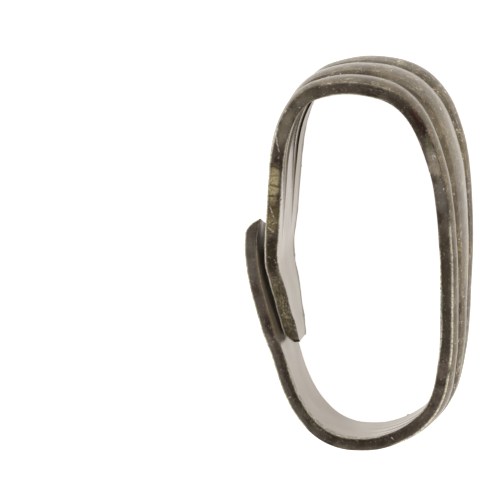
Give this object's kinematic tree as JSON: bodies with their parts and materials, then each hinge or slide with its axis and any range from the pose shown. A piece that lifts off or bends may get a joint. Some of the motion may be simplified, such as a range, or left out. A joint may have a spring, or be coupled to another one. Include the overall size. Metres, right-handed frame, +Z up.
{
  "type": "pendant bail",
  "caption": "Fold-over pendant bail: a grooved, tapering brass strip bent into a tall loop whose ends overlap at the back.",
  "frame": {"origin": "centre of the base of the bounding box, on the surface that the loop lies on", "axes": "+Y from the loop's bottom to its top, +X from its overlapping back to its grooved front, +Z up, close to the axis of the loop"},
  "size_m": [0.0086, 0.015, 0.0058],
  "materials": {
    "antiqued_brass": "antiqued: dark brown patina with fine brassy specks, rubbed bright along its edges"
  },
  "bodies": {
    "root": {"bail_strip": "antiqued_brass"}
  },
  "joints": []
}
